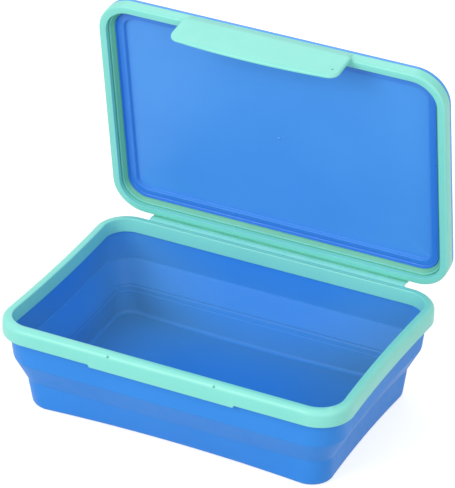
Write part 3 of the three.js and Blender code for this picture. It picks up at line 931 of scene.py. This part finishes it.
# %% [markdown]
# The clasp
#
# The clasp is a wide tongue moulded to the lid frame's front edge. Its corners are round, its free edge bows
# out a little in the middle, and a hook along its inner side snaps under the rim's ledge. The face could be
# cut from a plate, but cut edges shade badly when they are rounded afterwards. It is laid out instead as rows
# and columns that already follow the tongue's outline, and the round edge is more of the same outline, each
# layer drawn in a little less than the one before.

# %% The tongue's outline
CLASP_DROP = 21.4
CLASP_BOW = 2.8
CLASP_CORNER_RADIUS = 6.0
CLASP_THICKNESS = 2.0
CLASP_CLEARANCE = 0.4
CLASP_EDGE_RADIUS = 1.4
CLASP_INNER_EDGE_RADIUS = 0.3
CLASP_COLUMNS = 44
CLASP_ROWS = 14
STRAIGHT_START = 3.0


def free_edge(x, inset):
    """Depth of the tongue's free edge below the lid's face at x, drawn in by an inset."""
    side = clasp_half_length - inset
    corner = CLASP_CORNER_RADIUS - inset
    past = max(0, abs(x) - (side - corner))
    bow = CLASP_BOW * (1 - (x / clasp_half_length) ** 2)
    return CLASP_DROP - inset + bow - corner + math.sqrt(max(corner**2 - past**2, 0))


def column_share(i):
    """Columns crowd towards both ends, where the outline turns."""
    return math.sin(math.pi / 2 * (2 * i / CLASP_COLUMNS - 1))


corner_start = clasp_half_length - CLASP_CORNER_RADIUS
print(f"tongue drops {free_edge(0, 0):.1f} in the middle, {free_edge(corner_start, 0):.1f} at its corners")

# %% Its section, from the root down
ROOT_TOP = 6.7
ROOT_UNDERSIDE = 2.8
ROOT_DEPTH = 2.3
ROOT_BURIED = 0.15
ROOT_EDGE_RADIUS = 0.4
ROOT_BEND_RADIUS = 6.0
ROOT_INNER_RADIUS = 1.0
ROOT_STEPS = 14
SLACK = 1e-9

outer_face = -half_width - CLASP_CLEARANCE - CLASP_THICKNESS
inner_face = -half_width - CLASP_CLEARANCE
buried_y = ROOT_DEPTH - half_width
flush_y = ROOT_BURIED - half_width


def evenly_spaced(points, count):
    """The same line with its points spread evenly along it."""
    lengths = [0.0]
    for a, b in zip(points, points[1:]):
        lengths.append(lengths[-1] + (b - a).length)
    spread = []
    for i in range(count + 1):
        target = lengths[-1] * i / count
        leg = max(k for k in range(len(points) - 1) if lengths[k] <= target + SLACK)
        share = (target - lengths[leg]) / (lengths[leg + 1] - lengths[leg])
        spread.append(points[leg].lerp(points[leg + 1], min(share, 1)))
    return spread


outer_root = evenly_spaced(rounded([
    (buried_y, ROOT_TOP),
    (flush_y, ROOT_TOP, ROOT_EDGE_RADIUS),
    (outer_face, CLASP_CLEARANCE, ROOT_BEND_RADIUS),
    (outer_face, -STRAIGHT_START),
], closed=False), ROOT_STEPS)
inner_root = evenly_spaced(rounded([
    (buried_y, ROOT_UNDERSIDE),
    (inner_face, -CLASP_CLEARANCE, ROOT_INNER_RADIUS),
    (inner_face, -STRAIGHT_START),
], closed=False), ROOT_STEPS)
print("root runs from y", round(buried_y, 2), "to", round(outer_face, 2))

# %% Where each point of the tongue lies
SIDE_FADE = 3.0
FACE_FADE = 1.0


def fused_share(x, height):
    """How far the tongue stands out of the frame: nothing at its sides above the face, all of it below."""
    from_side = min(max((clasp_half_length - abs(x)) / SIDE_FADE, 0), 1)
    standing = from_side * from_side * (3 - 2 * from_side)
    return between(height, -CLASP_CLEARANCE, CLASP_CLEARANCE + FACE_FADE, 1, standing)


def tongue_point(column, row, inset, depth):
    """A point of the tongue: by column and row, drawn in by inset, and depth in from its outer face."""
    x = column_share(column) * (clasp_half_length - inset)
    if row <= ROOT_STEPS:
        outer = outer_root[row].copy()
        if outer.x < flush_y:
            outer.x = flush_y + (outer.x - flush_y) * fused_share(x, outer.y)
        place = outer.lerp(inner_root[row], depth / CLASP_THICKNESS)
        return Vector((x, place.x, lid_plane + place.y))
    down = (row - ROOT_STEPS) / CLASP_ROWS
    height = -STRAIGHT_START - down * (free_edge(x, inset) - STRAIGHT_START)
    return Vector((x, outer_face + depth, lid_plane + height))


last_row = ROOT_STEPS + CLASP_ROWS
print(f"tongue of {CLASP_COLUMNS} columns and {last_row} rows")

# %% The path round its edge, and the layers that round it
EDGE_STEPS = 5

edge_path = [(0, row) for row in range(last_row + 1)]
edge_path += [(column, last_row) for column in range(1, CLASP_COLUMNS + 1)]
edge_path += [(CLASP_COLUMNS, row) for row in range(last_row - 1, -1, -1)]


def edge_arc(radius, from_outer):
    """Inset and depth of each layer round one edge of the tongue."""
    arc = [math.pi / 2 * step / EDGE_STEPS for step in range(EDGE_STEPS + 1)]
    layers = [(radius * (1 - math.sin(a)), radius * (1 - math.cos(a))) for a in arc]
    if from_outer:
        return layers
    return [(inset, CLASP_THICKNESS - depth) for inset, depth in reversed(layers)]


edge_layers = edge_arc(CLASP_EDGE_RADIUS, True) + edge_arc(CLASP_INNER_EDGE_RADIUS, False)
print(len(edge_layers), "layers from the outer face to the inner one")

# %% The tongue's faces
tongue_points, tongue_index = [], {}


def tongue_vertex(column, row, layer):
    """The index of a vertex, made the first time it is asked for."""
    key = (column, row, layer)
    if key not in tongue_index:
        tongue_index[key] = len(tongue_points)
        tongue_points.append(tongue_point(column, row, *edge_layers[layer]))
    return tongue_index[key]


tongue_faces = []
last_layer = len(edge_layers) - 1
for layer in (0, last_layer):
    for column in range(CLASP_COLUMNS):
        for row in range(last_row):
            corners = ((column, row), (column + 1, row), (column + 1, row + 1), (column, row + 1))
            tongue_faces.append(tuple(tongue_vertex(*corner, layer) for corner in corners))
for layer in range(last_layer):
    for a, b in zip(edge_path, edge_path[1:]):
        tongue_faces.append((tongue_vertex(*a, layer), tongue_vertex(*b, layer),
                             tongue_vertex(*b, layer + 1), tongue_vertex(*a, layer + 1)))
root_loop = [tongue_vertex(column, 0, 0) for column in range(CLASP_COLUMNS + 1)]
root_loop += [tongue_vertex(CLASP_COLUMNS, 0, layer) for layer in range(1, last_layer)]
root_loop += [tongue_vertex(column, 0, last_layer) for column in range(CLASP_COLUMNS, -1, -1)]
root_loop += [tongue_vertex(0, 0, layer) for layer in range(last_layer - 1, 0, -1)]
tongue_faces.append(tuple(root_loop))
tongue = mesh_piece("clasp_tongue", tongue_points, tongue_faces, teal)
tongue.data.transform(open_in_metres)
print("tongue:", len(tongue_faces), "faces")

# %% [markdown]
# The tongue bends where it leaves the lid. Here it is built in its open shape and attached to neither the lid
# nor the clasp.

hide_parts("clasp_flap")
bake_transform(tongue)

# %% The hook bead along its inner side
HOOK_HALF_LENGTH = 45.0
HOOK_REACH = 1.6
HOOK_HEIGHT = 2.4
HOOK_RADIUS = 0.35
HOOK_END = 0.6

hook_top = -(FLANGE_DEPTH + catch_drop + SEAT_GAP + CLASP_CLEARANCE)
hook_profile = rounded([
    (inner_face - CLASP_THICKNESS / 2, hook_top),
    (inner_face + HOOK_REACH, hook_top - HOOK_HEIGHT / 4, HOOK_RADIUS),
    (inner_face + HOOK_REACH, hook_top - HOOK_HEIGHT / 2, HOOK_RADIUS),
    (inner_face - CLASP_THICKNESS / 2, hook_top - HOOK_HEIGHT),
])
hook_rings = []
for x, shrink in ((-HOOK_HALF_LENGTH, HOOK_END), (HOOK_END - HOOK_HALF_LENGTH, 0),
                  (HOOK_HALF_LENGTH - HOOK_END, 0), (HOOK_HALF_LENGTH, HOOK_END)):
    ends = [(min(p.x, inner_face + HOOK_REACH - shrink), p.y) for p in hook_profile]
    hook_rings.append([Vector((x, y, lid_plane + height)) for y, height in ends])
hook = capped("clasp_hook_bead", hook_rings, teal)
hook.data.transform(open_in_metres)
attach(hook, "clasp")
print("hook", 2 * HOOK_HALF_LENGTH, "long, reaches", HOOK_REACH)

# %% [markdown]
# Gate marks
#
# Where the plastic ran into the mould it leaves a tiny disc, here a little proud of the face. Its dark colour
# is painted shade, standing in for the shade in a small pit. There are two on the rim's front rounding and
# one on the tongue. A dark spot could be painted in the material alone, but a disc also catches light at its
# edge.
# Each is turned about its own axis and then laid on the face.

# %% Three gate marks
MARK_HEIGHT = 0.12
MARK_BURIED = 0.3
MARK_TOP_SHARE = 0.75
RIM_MARK_X = 34.7
RIM_MARK_RADIUS = 0.75
RIM_MARK_ANGLE = math.radians(32)
TONGUE_MARK_X = 49.7
TONGUE_MARK_DROP = 15.1
TONGUE_MARK_RADIUS = 0.6


def gate_mark(name, radius, place, outward):
    """A small disc on a face, sunk in a little and standing out along the face's outward direction."""
    section = [(radius, -MARK_BURIED), (radius, MARK_HEIGHT / 2), (MARK_TOP_SHARE * radius, MARK_HEIGHT)]
    mark = turned(name, section, Vector((0, 0, 0)), gate_mark_painted_shade)
    facing = outward.to_track_quat("Z", "Y").to_matrix().to_4x4()
    mark.data.transform(Matrix.Translation(place * MM) @ facing)
    return mark


out_of_crown = Vector((0, -math.cos(RIM_MARK_ANGLE), math.sin(RIM_MARK_ANGLE)))
crown_centre = Vector((0, CROWN_RADIUS - half_width, rim_top - CROWN_RADIUS))
for side, x in (("left", -RIM_MARK_X), ("right", RIM_MARK_X)):
    on_crown = crown_centre + CROWN_RADIUS * out_of_crown + Vector((x, 0, 0))
    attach(gate_mark("rim_gate_mark_" + side, RIM_MARK_RADIUS, on_crown, out_of_crown), "rim")
on_tongue = Vector((TONGUE_MARK_X, outer_face, lid_plane - TONGUE_MARK_DROP))
tongue_mark = gate_mark("clasp_gate_mark", TONGUE_MARK_RADIUS, on_tongue, Vector((0, -1, 0)))
tongue_mark.data.transform(open_in_metres)
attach(tongue_mark, "clasp")
print("gate marks", 2 * RIM_MARK_RADIUS, "across on the rim and", 2 * TONGUE_MARK_RADIUS, "on the tongue")

# %% [markdown]
# The floor and the light
#
# The box was shot on white, with much light from all round and one large soft light from the front left. A
# weaker lamp from the front right fills its shadows, and the weakest, from behind on the left, puts a little
# sheen on what faces up.
#
# The floor is a plain grey plane. What the camera sees of it is lifted to white by Light Path, so that the
# light on the box itself can stay at a plain level, and the floor still darkens where the box shades it.

# %% A floor that looks white and keeps the shadow
FLOOR_SIZE = 8.0
FLOOR_GREY = 0.6
FLOOR_ROUGHNESS = 0.9
FLOOR_LIFT = 0.66


def seen_share(tree):
    """One for rays straight from the camera, off a mirror or through glass, and zero for the rest."""
    path = tree.nodes.new("ShaderNodeLightPath")
    total = path.outputs["Is Camera Ray"]
    for kind in ("Is Glossy Ray", "Is Transmission Ray"):
        either = tree.nodes.new("ShaderNodeMath")
        either.operation = "MAXIMUM"
        tree.links.new(total, either.inputs[0])
        tree.links.new(path.outputs[kind], either.inputs[1])
        total = either.outputs["Value"]
    return total


floor_paint = bpy.data.materials.new("floor_white")
floor_paint.use_nodes = True
floor_shader = floor_paint.node_tree.nodes["Principled BSDF"]
floor_shader.inputs["Base Color"].default_value = (FLOOR_GREY, FLOOR_GREY, FLOOR_GREY, 1)
floor_shader.inputs["Roughness"].default_value = FLOOR_ROUGHNESS
floor_shader.inputs["Specular IOR Level"].default_value = 0.0
floor_shader.inputs["Emission Color"].default_value = (1, 1, 1, 1)
lift = floor_paint.node_tree.nodes.new("ShaderNodeMath")
lift.operation = "MULTIPLY"
lift.inputs[1].default_value = FLOOR_LIFT
floor_paint.node_tree.links.new(seen_share(floor_paint.node_tree), lift.inputs[0])
floor_paint.node_tree.links.new(lift.outputs["Value"], floor_shader.inputs["Emission Strength"])

floor_reach = FLOOR_SIZE / 2 / MM
floor_corners = [(x * floor_reach, y * floor_reach, 0) for x, y in ((-1, -1), (1, -1), (1, 1), (-1, 1))]
floor = mesh_piece("floor", floor_corners, [(0, 1, 2, 3)], floor_paint)
print("floor", FLOOR_SIZE, "m wide")

# %% World and lamps
WORLD_LEVEL = 0.69

world = bpy.data.worlds.new("studio")
bpy.context.scene.world = world
world.use_nodes = True
world_tree = world.node_tree
background = world_tree.nodes["Background"]
background.inputs["Color"].default_value = (1, 1, 1, 1)
level = world_tree.nodes.new("ShaderNodeMapRange")
level.inputs["To Min"].default_value = WORLD_LEVEL
level.inputs["To Max"].default_value = 1.0
world_tree.links.new(seen_share(world_tree), level.inputs["Value"])
world_tree.links.new(level.outputs["Result"], background.inputs["Strength"])


def soft_box(name, place, target, size, power):
    """A square area light at a place, turned towards a target, both in metres."""
    lamp = bpy.data.lights.new(name, "AREA")
    lamp.shape = "SQUARE"
    lamp.size = size
    lamp.energy = power
    holder = bpy.data.objects.new(name, lamp)
    bpy.context.scene.collection.objects.link(holder)
    holder.location = place
    holder.rotation_euler = (Vector(target) - Vector(place)).to_track_quat("-Z", "Y").to_euler()
    return holder


middle = Vector((0, 0, rim_top * MM))
key = soft_box("key_light", (-0.9, -2.0, 1.3), middle, size=1.1, power=26)
soft_box("fill_light", (1.6, -1.4, 1.2), middle, size=1.1, power=10)
soft_box("sheen_light", (-0.9, 1.4, 1.9), middle, size=1.2, power=8)
print("world", WORLD_LEVEL, "key", key.data.energy, "W")

# %% [markdown]
# The camera
#
# The camera was solved from the photo's own lines: the rim, the base and the open lid's edge follow one
# rounded rectangle in three places, which fixes the distance, the turn and the lens at once. It is a long
# lens, two metres away. A new camera looks straight down. This one is rolled a little about its own axis,
# tilted up towards the back, and then turned so that it looks from the front right. A constraint could aim
# it at a target, but it would hold the camera level, and the photo was taken with this small roll.

# %% Camera from the solved view
CAMERA_PLACE = (0.7619, -1.5941, 1.12367)
CAMERA_TURN = 25.423
CAMERA_TILT = 60.101
CAMERA_ROLL = 1.405
CAMERA_LENS = 253.585
SENSOR = 36.0
CLIP_END = 20


def rotation(degrees, axis):
    """A turn about one of the main axes."""
    return Matrix.Rotation(math.radians(degrees), 4, axis)


camera = bpy.data.objects.new("camera", bpy.data.cameras.new("camera"))
bpy.context.scene.collection.objects.link(camera)
camera.data.sensor_width = SENSOR
camera.data.lens = CAMERA_LENS
camera.data.clip_end = CLIP_END
aim = rotation(CAMERA_TURN, "Z") @ rotation(CAMERA_TILT, "X") @ rotation(CAMERA_ROLL, "Z")
camera.matrix_world = Matrix.Translation(CAMERA_PLACE) @ aim
bpy.context.scene.camera = camera
bpy.context.scene.view_settings.view_transform = "Standard"
print("lens", CAMERA_LENS, "mm, turned", CAMERA_TURN, "and tilted", CAMERA_TILT, "degrees")
